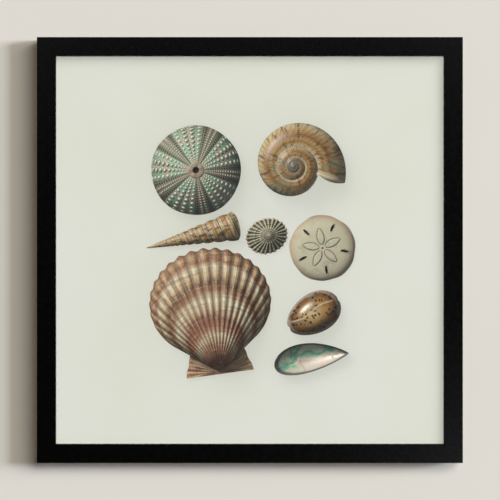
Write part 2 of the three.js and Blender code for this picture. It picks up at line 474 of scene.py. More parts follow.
def tab(node, material):
    """A spring steel tab: flat from inside the rail to its bend, then turned up at a rounded end."""
    low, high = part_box(node)
    middle = (low + high) / 2
    along_x = high.x - low.x > high.z - low.z
    reach = max(high.x - low.x, high.z - low.z)
    half_width = min(high.x - low.x, high.z - low.z) / 2
    inwards = -1 if (middle.x if along_x else middle.z - CENTRE.z) > 0 else 1
    stations = [0.0, reach * 0.25, reach * 0.5, reach - TAB_CORNER - TAB_BEND / 2]
    stations += [reach - TAB_CORNER * (1 - math.sin(math.radians(a))) for a in (0, 20, 40, 60, 75, 88)]
    loops = []
    for u in stations:
        from_round = max(0.0, u - (reach - TAB_CORNER))
        narrowed = TAB_CORNER - math.sqrt(max(0.0, TAB_CORNER**2 - from_round**2))
        half = half_width - narrowed
        rise = max(0.0, (u - (reach - TAB_BEND)) / TAB_BEND) ** 1.4 * TAB_LIFT
        offset = inwards * (u - reach / 2)
        loop = []
        for side, top in ((-1, 0), (1, 0), (1, 1), (-1, 1)):
            y = low.y + rise + top * TAB_THICKNESS
            across = side * half
            dx, dz = (offset, across) if along_x else (across, offset)
            loop.append((middle.x + dx, y, middle.z + dz))
        loops.append(loop)
    points, faces = swept(loops)
    piece(node + "_steel", mesh_of(node, points, faces, [material]), "tab", node, edge=TAB_EDGE)


def hanger(material):
    """The toothed strip as packed, with its pressed edges softened."""
    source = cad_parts["sawtooth_hanger"].data.copy()
    source.materials.clear()
    source.materials.append(material)
    merged = bmesh.new()
    merged.from_mesh(source)
    bmesh.ops.remove_doubles(merged, verts=merged.verts, dist=1e-6)
    bmesh.ops.dissolve_limit(merged, angle_limit=math.radians(1), verts=merged.verts, edges=merged.edges)
    merged.to_mesh(source)
    merged.free()
    piece("sawtooth_strip", source, "hanger", "sawtooth_hanger", edge=STRIP_EDGE)


def round_node(node):
    """The middle of a round node's far end, its radius and its length along Y."""
    low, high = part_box(node)
    at = Vector(((low.x + high.x) / 2, high.y, (low.z + high.z) / 2))
    return at, (high.x - low.x) / 2, high.y - low.y


NAIL_DOME = 1.0 * MM
NAIL_SHANK = 0.8 * MM
NAIL_DISH = 0.85  # the dome's share that is curved
NAIL_FACETS, PAD_FACETS = 32, 48


def nails(material):
    for side in ("left", "right"):
        node = "hanger_nail_" + side
        at, head, length = round_node(node)
        profile = [(0, -length), (NAIL_SHANK, 2 * NAIL_SHANK - length), (NAIL_SHANK, -NAIL_DOME)]
        profile += [(head * 0.97, -NAIL_DOME), (head, -NAIL_DOME * NAIL_DISH)]
        for t in map(math.radians, (20, 40, 60, 78)):
            profile.append((head * math.cos(t), -NAIL_DOME * (1 - math.sin(t)) * NAIL_DISH))
        mesh = lathe(profile + [(0, 0)], NAIL_FACETS, at, material, node)
        piece(node + "_domed", mesh, "hanger", node)


PAD_RIM = 1.1 * MM
PAD_FOOT_EDGE = 0.2 * MM
PAD_DIMPLE = [(1.6 * MM, 0), (1.3 * MM, -0.12 * MM), (0, -0.25 * MM)]


def bumpers(material):
    """Soft pads with a rounded rim and a shallow moulded dimple."""
    for side in ("left", "right"):
        node = "bumper_" + side
        at, radius, thick = round_node(node)
        profile = [(0, -thick), (radius - PAD_FOOT_EDGE, -thick), (radius, -thick + PAD_FOOT_EDGE)]
        profile += [(radius, -PAD_RIM)] + arc(radius - PAD_RIM, -PAD_RIM, PAD_RIM, 12, 90, 6) + PAD_DIMPLE
        piece(node + "_pad", lathe(profile, PAD_FACETS, at, material, node), "bumper", node)


VNAIL_LEG = 4.2 * MM
VNAIL_THICKNESS = 0.45 * MM
VNAIL_DEEP = 7.0 * MM
VNAIL_PROUD = 0.05 * MM
VNAIL_SWEEP = 0.75 * VNAIL_LEG  # how far its ends lie outwards of its bend
VNAIL_SET_IN = 1.2 * MM


def corner_nails(material):
    """A bent steel wedge driven across each mitre from behind."""
    for name, sx, sz in (("a", -1, 1), ("b", 1, 1), ("c", 1, -1), ("d", -1, -1)):
        inset = HALF - WOOD / 2
        out = Vector((sx, 0, sz)).normalized()
        across = Vector((sz, 0, -sx)).normalized() * VNAIL_LEG
        apex = Vector((sx * inset, 0, CENTRE.z + sz * inset)) - out * VNAIL_SET_IN
        back = out * VNAIL_SWEEP
        outer = [apex - across + back, apex, apex + across + back]
        ring = outer + [p + out * VNAIL_THICKNESS for p in reversed(outer)]
        ends = (BACK_Y - VNAIL_DEEP, BACK_Y + VNAIL_PROUD)
        points, faces = swept([[(p.x, y, p.z) for p in ring] for y in ends])
        mesh = mesh_of("corner_nail_" + name, points, faces, [material])
        piece("corner_nail_" + name, mesh, "tab")


# The picture's shells. Each has an outline, a relief and a paint, in millimetres from its own origin
# with z up. The sheet stays flat: a relief only gives the picture its light and shade. A formula that
# relief and paint share takes m, which is Numbers for arrays and the Graph for a material.


FIFTH = TURN / 5


def ease(value, low, high):
    """A smooth step from 0 to 1 between low and high."""
    t = np.clip((value - low) / (high - low), 0, 1)
    return t * t * (3 - 2 * t)


def ridge(value, half_width):
    """1 at value 0, falling to nothing over about twice half_width."""
    return np.exp(-((value / half_width) ** 2))


def ring_of(count):
    return np.linspace(0, TURN, count, endpoint=False)


def polar(r, a):
    """Points this far from the origin, at angles from +x."""
    return np.column_stack([r * np.cos(a), r * np.sin(a)])


TOWARDS_LIGHT = Vector((-0.56, 0.62, 0.55)).normalized()  # right, out of the picture, up
TOWARDS_SHINE = (TOWARDS_LIGHT + Vector((0, 1, 0))).normalized()
SKY_SHARE, SUN_SHARE = 0.25, 0.93
SKY_TINT = (0.92, 0.98, 0.96)
SUN_TINT = (1.02, 1.0, 0.89)
SHINE_TINT = (1.0, 0.99, 0.96)


def printed(g, colour, gloss, sharp, grit, grit_mm=1.0):
    """The colour as the picture shows it, in soft light from the upper left, with the relief's shade."""
    facing = g.attribute("facing")
    if grit:
        rough = g.noise(g.spot(), 1 / grit_mm, 2.0, 0.6, output="Color")
        rough = g.vector_math("SUBTRACT", rough, (0.5, 0.5, 0.5))
        facing = g.vector_math("ADD", facing, g.scaled(rough, grit * 2))
        facing = g.vector_math("NORMALIZE", facing)
    opened, sunlit = g.parts(g.attribute("lit"))[:2]
    sun = g.clamp(g.dot(facing, TOWARDS_LIGHT)) * sunlit
    lobe = g.clamp(g.dot(facing, TOWARDS_SHINE)) ** sharp * sunlit * gloss
    light = g.scaled(SUN_TINT, sun * SUN_SHARE)
    light = g.vector_math("ADD", light, g.scaled(SKY_TINT, opened * SKY_SHARE))
    shown = g.vector_math("MULTIPLY", colour, light)
    return paper_finish(g, g.vector_math("ADD", shown, g.scaled(SHINE_TINT, lobe)))


class Shell:
    """One shell of the picture. at and turn_deg place it on the sheet, and step parts its points."""

    def __init__(self, name, at, turn_deg, step):
        self.name, self.at, self.step = name, np.array(at), step
        turn = math.radians(turn_deg)
        self.axes = np.array([[math.cos(turn), math.sin(turn)], [-math.sin(turn), math.cos(turn)]])

    def own(self, places):
        """Places on the sheet as the shell's own x and z."""
        return ((places - self.at) @ self.axes.T).T

    def loop(self):
        """The outline on the sheet."""
        return self.outline() @ self.axes + self.at

    def material(self):
        g = Graph("printed_" + self.name)
        x, _, z = g.place()
        x, z = x - float(self.at[0]), z - (float(self.at[1]) + CENTRE.z / MM)
        (a, b), (c, d) = self.axes.tolist()
        return self.paint(g, x * a + z * b, x * c + z * d)


FAN_HALF_WIDTH, FAN_HALF_HEIGHT, FAN_CENTRE = 61.0, 54.0, 70.0
FAN_RIBS = 21
FAN_LEAN = FAN_CENTRE / FAN_HALF_HEIGHT
FAN_SIDE = math.atan(FAN_HALF_WIDTH / FAN_HALF_HEIGHT / math.sqrt(FAN_LEAN**2 - 1))
FAN_SWELL = 30.0
FAN_LEDGES = ((0.3, 0.35), (0.45, 0.55), (0.58, 0.4), (0.7, 0.75), (0.8, 0.5), (0.89, 0.7), (0.955, 0.4))
EAR_EDGE = [(34.0, -2.5), (33.0, 4.0), (30.0, 10.0), (29.0, 16.0)]
EAR_MEETS = 27.5
EAR_FOLDS = 5


class Scallop(Shell):
    """A ribbed fan seen on its outside, its beak at the origin: an ellipse and its tangents from there."""

    def margin(self, m, theta):
        """The margin's distance from the beak, at an angle from straight up."""
        across, up = m.sine(theta) / FAN_HALF_WIDTH, m.cosine(theta) / FAN_HALF_HEIGHT
        square = across * across + up * up
        along = up * FAN_LEAN
        return (along + m.sqrt(m.maximum(along * along - square * (FAN_LEAN**2 - 1), 0.0))) / square

    def rib(self, side):
        """How many ribs lie between the middle and side, which runs from -1 to 1. They narrow outwards."""
        return (side * 0.87 + side * side * side * 0.13) * (FAN_RIBS / 2)

    def measures(self, m, x, z):
        """A point's distance and angle from the beak, its side, and how near the margin it is, 0 to 1."""
        r, theta = m.hypot(x, z), m.arctan2(x, z)
        side = m.clamp(theta / FAN_SIDE, -1.0, 1.0)
        return r, theta, side, r / self.margin(m, side * FAN_SIDE)

    def outline(self):
        theta = np.linspace(-FAN_SIDE, FAN_SIDE, 361)[1:-1]
        side = theta / FAN_SIDE
        lobes = 0.009 * np.cos(TURN * self.rib(side)) * np.cos(side * math.pi / 2) ** 0.3
        fan = polar(self.margin(Numbers, theta) * (1 + lobes), theta)[:, ::-1]
        ear = np.array(EAR_EDGE + [(EAR_MEETS, EAR_MEETS / math.tan(FAN_SIDE))])
        return np.concatenate([ear * (-1, 1), fan, ear[::-1]])

    def relief(self, x, z):
        _, theta, side, t = self.measures(Numbers, x, z)
        t = np.minimum(t, 1.02)
        swell = np.maximum(1 - t**2.6, 0) ** 0.85 * (1 - np.exp(-t / 0.08))
        swell *= FAN_SWELL * np.maximum(1 - np.abs(side) ** 2.8, 0) ** 0.62
        rib = self.rib(side)
        ribs = t**0.75 * (1 - np.abs(np.sin(math.pi * rib)) ** 2.2)
        ribs *= 2.3 * (1 - np.abs(side) ** 8) + 0.16 * np.cos(5 * TURN * rib)
        grows = t + 0.006 * np.sin(9 * theta + 2) + 0.004 * np.sin(23 * theta)
        ledges = sum(drop * ease(grows, at - 0.006, at + 0.01) for at, drop in FAN_LEDGES)
        past_side = np.abs(theta) - FAN_SIDE
        folds = np.cos(TURN * EAR_FOLDS * past_side / (math.radians(94) - FAN_SIDE))
        ear = 0.5 + (2.2 + 0.32 * folds + 0.05 * np.cos(1.85 * x)) * ease(past_side, 0, 0.1)
        return np.where(past_side < 0, np.maximum(swell + ribs - ledges + 2.6, 0.5), ear)

    def paint(self, g, x, z):
        r, theta, side, t = self.measures(g, x, z)
        rib = g.wave(self.rib(side))
        fine = g.grain(x, z, 1.0, 0.9, 0.65)
        cloud = g.grain(x, z, 2.0, 0.05)
        streak = g.grain(theta * 34, r * 0.09, 3.0)
        lines = g.grain(r * 0.55 + rib * 0.12, theta * 1.5, 4.0, 1.0, 0.7)
        rays = g.grain(theta * 9, r * 0.06, 5.0)
        bands = g.ramp(
            t + cloud * 0.09 + streak * 0.05 - 0.07 + rib * 0.008,
            (0.02, 150, 92, 70), (0.12, 128, 70, 54), (0.2, 176, 124, 98), (0.3, 214, 196, 168),
            (0.37, 170, 112, 84), (0.45, 136, 84, 62), (0.52, 206, 180, 148), (0.6, 222, 210, 184),
            (0.66, 164, 116, 80), (0.73, 120, 84, 56), (0.79, 196, 168, 132), (0.86, 220, 206, 178),
            (0.91, 156, 104, 74), (0.96, 190, 160, 124), (1.0, 140, 88, 66),
        )
        colour = g.washes(
            bands,
            ((226, 216, 196), streak, 0.52, 0.72, 0.6),
            ((104, 62, 44), streak, 0.46, 0.3, 0.55),
            ((96, 66, 46), rib, 0.3, -0.9, 0.6),
            ((86, 58, 42), lines, 0.5, 0.68, 0.5),
            ((236, 228, 208), lines, 0.44, 0.3, 0.35),
            ((232, 226, 206), fine, 0.6, 0.75, 0.5),
        )
        ear = g.blend(linear(208, 180, 148), linear(142, 92, 68), g.step(rays, 0.36, 0.66))
        colour = g.blend(colour, ear, g.step(g.absolute(theta / FAN_SIDE), 0.99, 1.01))
        return printed(g, colour, gloss=0.1, sharp=16.0, grit=0.16, grit_mm=0.9)


URCHIN_RADIUS, URCHIN_HEIGHT = 45.0, 30.0
BARE_SHARE = 0.32  # of a fifth: from its middle to where the narrow pore band begins
WIDE_CELL, NARROW_CELL = 0.16, 0.09


def off_centre(m, across, down):
    """How far a point lies from the middle of its cell, where across and down count cells."""
    return m.hypot(m.fract(across) - 0.5, m.fract(down) - 0.5)


def knobs(across, down, share):
    """Round knobs with a nipple, one in each cell."""
    off = off_centre(Numbers, across, down)
    nipple = 0.7 * np.maximum(1 - (off / (share * 0.42)) ** 2, 0)
    return np.sqrt(np.maximum(1 - (off / share) ** 2, 0)) + nipple


class Urchin(Shell):
    """An urchin's test seen from above: five wide fifths of knobs between narrow bands of pores."""

    def cells(self, m, x, z, q):
        """A point's place across its fifth, and its cell among the wide part's knobs and the narrow's.
        q is its share of the radius."""
        across = m.fract(m.arctan2(z, x) / FIFTH + 5.25) - 0.5
        down = m.logarithm(m.tangent(m.arcsine(q) * 0.5), math.e)
        wide, narrow = across / WIDE_CELL, (0.5 - m.absolute(across)) / NARROW_CELL
        wide_down = down / (FIFTH * WIDE_CELL) + m.fract(m.floor(wide) * 0.5)
        narrow_down = down / (FIFTH * NARROW_CELL) + m.floor(narrow) * 0.5
        return across, (wide, wide_down), (narrow, narrow_down)

    def outline(self):
        a = ring_of(360)
        return polar(URCHIN_RADIUS * (1 + 0.006 * np.cos(5 * a)), a)

    def relief(self, x, z):
        q = np.clip(np.hypot(x, z) / URCHIN_RADIUS, 0.001, 0.9995)
        across, wide, narrow = self.cells(Numbers, x, z, q)
        out = np.abs(across)
        bumps = np.where(out < WIDE_CELL, knobs(*wide, 0.34) * 0.27, knobs(*wide, 0.26) * 0.19)
        pores = -0.12 * ridge(off_centre(Numbers, *narrow), 0.22)
        pores = np.where(narrow[0] < 1, knobs(*narrow, 0.33) * 0.14, pores)
        bumps = np.where(out < BARE_SHARE, bumps, pores)
        bumps -= 0.12 * ridge(out - BARE_SHARE, 0.012) + 0.1 * ridge(across, 0.01)
        bumps *= URCHIN_RADIUS * q * FIFTH * WIDE_CELL * ease(q, 0.16, 0.24)
        crown = 0.8 * (ease(q, 0.06, 0.085) - ease(q, 0.15, 0.19))
        crown *= 1 + 0.35 * np.sin(5 * np.arctan2(z, x))
        return URCHIN_HEIGHT * np.sqrt(1 - q**2.25) + bumps + crown - 2.5 * (1 - ease(q, 0.05, 0.075))

    def paint(self, g, x, z):
        q = g.clamp(g.hypot(x, z) / URCHIN_RADIUS)
        across, wide, narrow = self.cells(g, x, z, q)
        out = g.absolute(across)
        knob, small = off_centre(g, *wide), g.step(off_centre(g, *narrow), 0.36, 0.27)
        in_pores = g.step(narrow[0], 0.98, 1.02)
        cloud = g.grain(x, z, 4.0, 0.07)
        fine = g.grain(x, z, 5.0, 0.8, 0.65)
        rings = g.ramp(
            q + cloud * 0.5 - 0.25,
            (0.1, 196, 168, 158), (0.3, 196, 208, 186), (0.5, 150, 204, 180),
            (0.68, 206, 184, 172), (0.84, 158, 192, 172), (1.0, 150, 150, 130),
        )
        fifth = g.washes(
            rings,
            ((218, 190, 180), out, 0.07, 0.0, 0.75),
            ((98, 138, 124), knob, 0.56, 0.42, 0.6),
            ((236, 228, 208), knob, 0.32, 0.24),
        )
        band = g.washes(
            linear(112, 142, 130),
            ((158, 128, 114), cloud),
            ((58, 50, 42), small * in_pores),
            ((206, 202, 182), small * (1 - in_pores)),
        )
        colour = g.washes(
            g.blend(fifth, band, g.step(out, BARE_SHARE - 0.006, BARE_SHARE + 0.006)),
            ((70, 66, 56), g.absolute(out - BARE_SHARE), 0.01, 0.003, 0.7),
            ((84, 78, 66), fine, 0.58, 0.75, 0.5),
            ((166, 148, 132), q, 0.2, 0.16),
            ((34, 26, 20), q, 0.08, 0.06),
        )
        return printed(g, colour, gloss=0.08, sharp=18.0, grit=0.12, grit_mm=0.7)


COIL_GROWTH = 2.1  # how much wider the coil gets in a turn
COIL_CENTRE, COIL_TUBE = 31.5, 22.5  # the tube's middle line and radius at its mouth
COIL_DROP = 31.0  # how far the mouth lies below the tip
COIL_TURNS = 8
LIP_BULGE = 1.33  # what winds further than this lies in the lip, past the line where a turn ends


class Snail(Shell):
    """A coiled shell seen on its tip: a growing round tube, wound outwards clockwise to its mouth."""

    def outline(self):
        a = np.linspace(0, TURN, 361)
        r = (COIL_CENTRE + COIL_TUBE) * COIL_GROWTH ** (-a / TURN)
        f = np.linspace(0, 1, 13)[:-1]
        lip_z = -0.16 * COIL_TUBE * np.sin(math.pi * f) ** 0.8
        lip = np.column_stack([r[-1] + (r[0] - r[-1]) * f, lip_z])
        return np.concatenate([polar(r, a)[:-1], lip])

    def tube(self, r, turn):
        """The height of the tube that passes turn turns in from the mouth, where it covers radius r."""
        scale = COIL_GROWTH**-turn
        off = (r / scale - COIL_CENTRE) / COIL_TUBE
        top = scale * (COIL_TUBE * np.sqrt(np.maximum(1 - off**2, 0)) - COIL_DROP)
        return np.where(np.abs(off) < 1, top, -COIL_DROP)

    def seam(self):
        """The radius, at the mouth's angle, where the outer turn meets the one inside it."""
        r = np.linspace(COIL_CENTRE - COIL_TUBE, COIL_CENTRE, 4000)
        return float(r[np.argmax(self.tube(r, 0) > self.tube(r, 1))])

    def relief(self, x, z):
        r = np.hypot(x, z)
        turn = np.arctan2(z, x) / TURN
        turn = np.where(turn < -0.12, turn + 1, turn)
        from_lip = np.abs(turn) * TURN * r
        lip = 1.3 * ridge(from_lip, 2.2) - 0.5 * ridge(from_lip - 4, 1.5)
        tubes = [self.tube(r, turn + k) for k in range(COIL_TURNS)]
        tubes[0] = np.where(tubes[0] > -COIL_DROP, tubes[0] + lip, tubes[0])
        return np.maximum(np.max(tubes, axis=0) + COIL_DROP, 0.3)

    def paint(self, g, x, z):
        r = g.hypot(x, z)
        turn = g.fract(g.arctan2(z, x) / TURN + 1.0)
        wound = g.logarithm(g.maximum(r, 0.05) / self.seam(), COIL_GROWTH) + turn
        whorl = g.minimum(g.floor(wound), 0.0)
        beyond = g.greater_than(wound - whorl, LIP_BULGE)
        w = wound - whorl - beyond
        cloud = g.grain(x, z, 7.0, 0.06)
        around = g.vector(g.wave(turn) * 9, g.wave(turn + 0.25) * 9, w * 2.2 + whorl)
        flame = g.noise(around, 1.0, 3.0, 0.6, 0.6)
        lip = g.absolute(turn - beyond) * r * TURN
        at_mouth = g.step(lip, 6.0, 3.0) * g.step(wound, -0.02, 0.02)
        spiral = g.ramp(
            w + cloud * 0.24 - 0.12,
            (0.0, 196, 176, 142), (0.14, 208, 184, 146), (0.3, 158, 118, 70), (0.46, 186, 148, 96),
            (0.62, 134, 94, 52), (0.8, 178, 142, 96), (1.0, 206, 188, 154),
        )
        colour = g.washes(
            spiral,
            ((78, 50, 28), flame, 0.5, 0.66, 0.8),
            ((96, 132, 120), cloud, 0.56, 0.7, 0.5),
            ((70, 46, 28), g.wave(turn * 46.0 + w * 3.0 + cloud * 1.6), 0.3, 1.0, 0.3),
            ((214, 196, 160), g.wave(w * 13.0), 0.6, 1.0, 0.22),
            ((224, 212, 186), w, 0.13, 0.04, 0.6),
            ((50, 34, 24), w, 0.035, 0.008, 0.85),
            ((92, 96, 98), r, 13.0, 3.0, 0.75),
            ((212, 196, 168), at_mouth),
            ((120, 84, 56), at_mouth * g.step(lip, 0.4, 2.4, 0.0, 0.3)),
        )
        return printed(g, colour, gloss=0.35, sharp=45.0, grit=0.05, grit_mm=1.2)


DOLLAR_RADIUS = 33.0
PETAL_START, PETAL_LENGTH, PETAL_HALF = 3.0, 17.5, 3.7
SLOT_AT, SLOT_HALF_LENGTH, SLOT_HALF_WIDTH = 22.5, 4.2, 1.15


class SandDollar(Shell):
    """A flat disc with five petals of pores and five slots between them."""

    def measures(self, m, x, z):
        """A point's distance from the middle, its place along and across a petal, the petal's half
        width there, and its distance from a slot's middle, 1 at the rim."""
        r, fifths = m.hypot(x, z), m.arctan2(x, z) / FIFTH
        off = (m.fract(fifths + 5.5) - 0.5) * FIFTH
        along, across = r * m.cosine(off), m.absolute(r * m.sine(off))
        f = m.clamp((along - PETAL_START) / PETAL_LENGTH)
        half = m.sine(f**0.85 * math.pi) ** 0.75 * PETAL_HALF
        off = (m.fract(fifths + 5.0) - 0.5) * FIFTH
        slot = m.hypot((r * m.cosine(off) - SLOT_AT) / SLOT_HALF_LENGTH, r * m.sine(off) / SLOT_HALF_WIDTH)
        return r, along, across, half, slot

    def outline(self):
        a = ring_of(300)
        return polar(DOLLAR_RADIUS * (1 + 0.012 * np.sin(5 * a) + 0.006 * np.cos(11 * a)), a)

    def relief(self, x, z):
        r, along, across, half, slot = self.measures(Numbers, x, z)
        q = np.clip(r / DOLLAR_RADIUS, 0, 1)
        disc = 6.5 * (1 - q**5) ** 0.5 - 1.6 * q**2
        pores = ridge(across - half, 0.55) * (half > 0.4) * (0.4 + 0.12 * np.cos(4.8 * along))
        petal = 0.3 * (across < half - 0.8)
        slots = np.where(slot < 1, -3.0, 0.3 * ridge(slot**2 - 1.3, 0.5))
        return np.maximum(disc - pores + petal + slots, 0.3) + 0.4

    def paint(self, g, x, z):
        r, along, across, half, slot = self.measures(g, x, z)
        fine = g.grain(x, z, 8.0, 1.3, 0.7)
        cloud = g.grain(x, z, 9.0, 0.08)
        rows = g.step(g.absolute(across - half), 0.85, 0.25) * g.step(half, 0.3, 0.6)
        dashes = g.step(g.wave(along / 1.3), -0.5, 0.4)
        colour = g.washes(
            linear(196, 190, 166),
            ((216, 208, 188), cloud),
            ((170, 176, 156), cloud, 0.5, 0.68, 0.7),
            ((186, 152, 130), r, 24.0, 33.0, 0.55),
            ((150, 140, 116), g.cells(x, 0.0, z, 0.9), 0.32, 0.12, 0.5),
            ((120, 112, 92), fine, 0.6, 0.75, 0.5),
            ((84, 82, 68), rows * (dashes * 0.6 + 0.3)),
            ((46, 38, 30), slot, 1.06, 0.92),
            ((110, 92, 74), r, 1.6, 0.7),
        )
        return printed(g, colour, gloss=0.05, sharp=12.0, grit=0.16, grit_mm=0.6)


COWRIE_HALF_LENGTH, COWRIE_HALF_WIDTH, COWRIE_EGG = 29.0, 20.0, 0.13


class Cowrie(Shell):
    """An egg-shaped back with a thickened rim."""

    def level(self, m, x, z):
        """0 in the middle and 1 at the rim."""
        along = x * (1 / COWRIE_HALF_LENGTH)
        return m.hypot(along, z / ((along * COWRIE_EGG + 1) * COWRIE_HALF_WIDTH))

    def outline(self):
        a = ring_of(240)
        notches = 1 - 0.05 * ridge(a - math.pi, 0.12) - 0.03 * ridge(np.minimum(a, TURN - a), 0.1)
        z = COWRIE_HALF_WIDTH * np.sin(a) * (1 + COWRIE_EGG * np.cos(a))
        return np.column_stack([COWRIE_HALF_LENGTH * np.cos(a) * notches, z])

    def relief(self, x, z):
        level = np.clip(self.level(Numbers, x, z), 0, 1)
        return 19 * np.sqrt(1 - level**2.35) + 1.2 * ridge(level - 0.93, 0.05) + 0.3

    def paint(self, g, x, z):
        level = self.level(g, x, z)
        cloud = g.grain(x, z, 10.0, 0.09, 0.6, 0.5)
        wobble = g.noise(g.vector(x, 11.0, z), 0.16) * 2
        spots = g.step(g.cells(x + wobble, 0.0, z, 0.27), 0.4, 0.28, 0.0, 0.9)
        dots = g.step(g.cells(x, 3.0, z + wobble, 0.5), 0.26, 0.16, 0.0, 0.7)
        line = g.step(g.absolute(z - 3.0 - g.sine(x * 0.16) * 1.6), 1.3, 0.3, 0.0, 0.7)
        back = g.ramp(
            level + cloud * 0.3 - 0.15,
            (0.0, 206, 184, 142), (0.35, 184, 146, 92), (0.62, 150, 106, 58), (0.84, 110, 74, 46),
            (0.95, 178, 160, 146),
        )
        colour = g.washes(
            back,
            ((104, 118, 118), cloud, 0.52, 0.66, 0.5),
            ((58, 36, 22), spots * g.step(level, 0.97, 0.88)),
            ((222, 208, 176), dots * g.step(level, 0.8, 0.5)),
            ((218, 202, 168), line * g.step(level, 0.9, 0.7)),
        )
        return printed(g, colour, gloss=1.0, sharp=110.0, grit=0.0)


LIMPET_SIZE = (21.0, 17.5)  # half its length and width
LIMPET_RIBS = 26
LIMPET_TIP = 3.0 / LIMPET_SIZE[0]  # how far the tip lies from the middle, as a share of the half length


class Limpet(Shell):
    """A low ribbed cone, its tip off the middle."""

    def flutes(self, a):
        return 1 + 0.028 * np.cos(LIMPET_RIBS * a) + 0.012 * np.cos(LIMPET_RIBS / 2 * a + 1)

    def outline(self):
        a = ring_of(312)
        return polar(self.flutes(a), a) * LIMPET_SIZE

    def relief(self, x, z):
        x, z = x / LIMPET_SIZE[0], z / LIMPET_SIZE[1]
        x = x - LIMPET_TIP * (1 - np.hypot(x, z) / self.flutes(np.arctan2(z, x)))
        a = np.arctan2(z, x)
        q = np.clip(np.hypot(x, z) / self.flutes(a), 0, 1)
        ribs = 0.95 * (0.5 + 0.5 * np.cos(LIMPET_RIBS * a)) ** 0.7 * q**0.8
        lesser = 0.3 * np.cos(LIMPET_RIBS / 2 * a + 1) * q - 0.25 * np.sin(q * 26) * q
        return 11 * (1 - q**1.15) + ribs + lesser + 0.6

    def paint(self, g, x, z):
        x, z = x / LIMPET_SIZE[0], z / LIMPET_SIZE[1]
        x = x - g.maximum(1.0 - g.hypot(x, z), 0.0) * LIMPET_TIP
        q = g.hypot(x, z)
        rib = g.wave(g.arctan2(z, x) * (LIMPET_RIBS / TURN))
        cloud = g.grain(x, z, 12.0, 2.2)
        fine = g.grain(x, z, 13.0, 16.0, 0.7)
        rings = g.ramp(
            q + cloud * 0.22 - 0.11,
            (0.05, 200, 192, 170), (0.16, 120, 92, 66), (0.3, 110, 128, 118), (0.46, 188, 180, 150),
            (0.6, 96, 84, 66), (0.74, 150, 160, 140), (0.9, 120, 96, 70), (1.0, 198, 186, 156),
        )
        colour = g.washes(
            rings,
            ((224, 218, 196), rib, 0.2, 0.9, 0.7),
            ((48, 40, 32), rib, -0.3, -0.95, 0.7),
            ((60, 48, 36), g.wave(q * 7.5 + cloud * 0.5), 0.4, 1.0, 0.5),
            ((34, 30, 26), fine, 0.58, 0.66, 0.75),
        )
        return printed(g, colour, gloss=0.08, sharp=16.0, grit=0.2, grit_mm=0.7)


AUGER_LENGTH = 92.0
AUGER_TAPER = 0.152  # half width for each unit of length
AUGER_GROWTH = 1.19


class Auger(Shell):
    """A slender coiled shell on its side, its tip at the origin, its turns parted by slanting seams."""

    def turns(self, m, x, lean):
        """How far along its coil a point x from the tip lies, in turns."""
        return m.logarithm(m.maximum(x, 0.5), AUGER_GROWTH) + lean

    def lean(self, m, cone, z):
        """How far round the front of the cone z lies, -0.25 to 0.25 of a turn."""
        return m.arcsine(m.clamp(z / cone, -1.0, 1.0)) / TURN

    def cone(self, m, x):
        """The half width of the plain cone that the shell is wound on."""
        return m.maximum(x, 0.3) * AUGER_TAPER + 0.4

    def half(self, x, lean):
        bulge = np.sin(math.pi * (self.turns(Numbers, x, lean) % 1) ** 0.8) ** 0.5
        return (AUGER_TAPER * x + 0.4) * (0.91 + 0.15 * bulge)

    def outline(self):
        x = np.linspace(1, AUGER_LENGTH, 220)
        a = np.linspace(0.25, math.pi - 0.25, 12)
        lip_z = AUGER_TAPER * AUGER_LENGTH * 0.98 * np.cos(a)
        loop_x = np.concatenate([[0.0], x, AUGER_LENGTH + 4.5 * np.sin(a), x[::-1]])
        loop_z = np.concatenate([[0.0], self.half(x, 0.25), lip_z, -self.half(x[::-1], -0.25)])
        return np.column_stack([loop_x, loop_z])

    def relief(self, x, z):
        cone = self.cone(Numbers, x)
        lean = self.lean(Numbers, cone, z)
        f = self.turns(Numbers, x, lean) % 1
        cords = 0.03 * cone * np.cos(4 * TURN * f) * np.sqrt(np.sin(math.pi * f))
        rounded = np.sqrt(np.maximum(self.half(np.maximum(x, 0.3), lean) ** 2 - z * z, 0))
        return rounded * (1 - 0.6 * ease(x, AUGER_LENGTH - 3, AUGER_LENGTH + 5)) + cords + cone * 0.2

    def paint(self, g, x, z):
        lean = self.lean(g, self.cone(g, x), z)
        turns = self.turns(g, x, lean)
        f = g.fract(turns)
        cloud = g.grain(x, z, 14.0, 0.16)
        fine = g.grain(x, z, 15.0, 1.1, 0.65)
        flame = g.noise(g.vector(lean * 14, turns * 0.9, 0.0), 1.0, 2.0, 0.55, 0.4)
        whorls = g.ramp(
            f + cloud * 0.3 - 0.15,
            (0.0, 214, 200, 170), (0.3, 198, 168, 124), (0.55, 168, 126, 80), (0.8, 204, 178, 138),
            (1.0, 224, 214, 190),
        )
        colour = g.washes(
            whorls,
            ((84, 54, 32), flame, 0.52, 0.62, 0.85),
            ((110, 80, 52), g.wave(f * 4.0), -0.2, -1.0, 0.45),
            ((232, 224, 204), fine, 0.58, 0.75, 0.5),
            ((54, 38, 26), g.minimum(f, 1.0 - f), 0.07, 0.02, 0.85),
        )
        return printed(g, colour, gloss=0.3, sharp=30.0, grit=0.1, grit_mm=0.8)


MUSSEL_HALF_LENGTH, MUSSEL_HALF_WIDTH, MUSSEL_BOW = 38.0, 18.5, 2.6


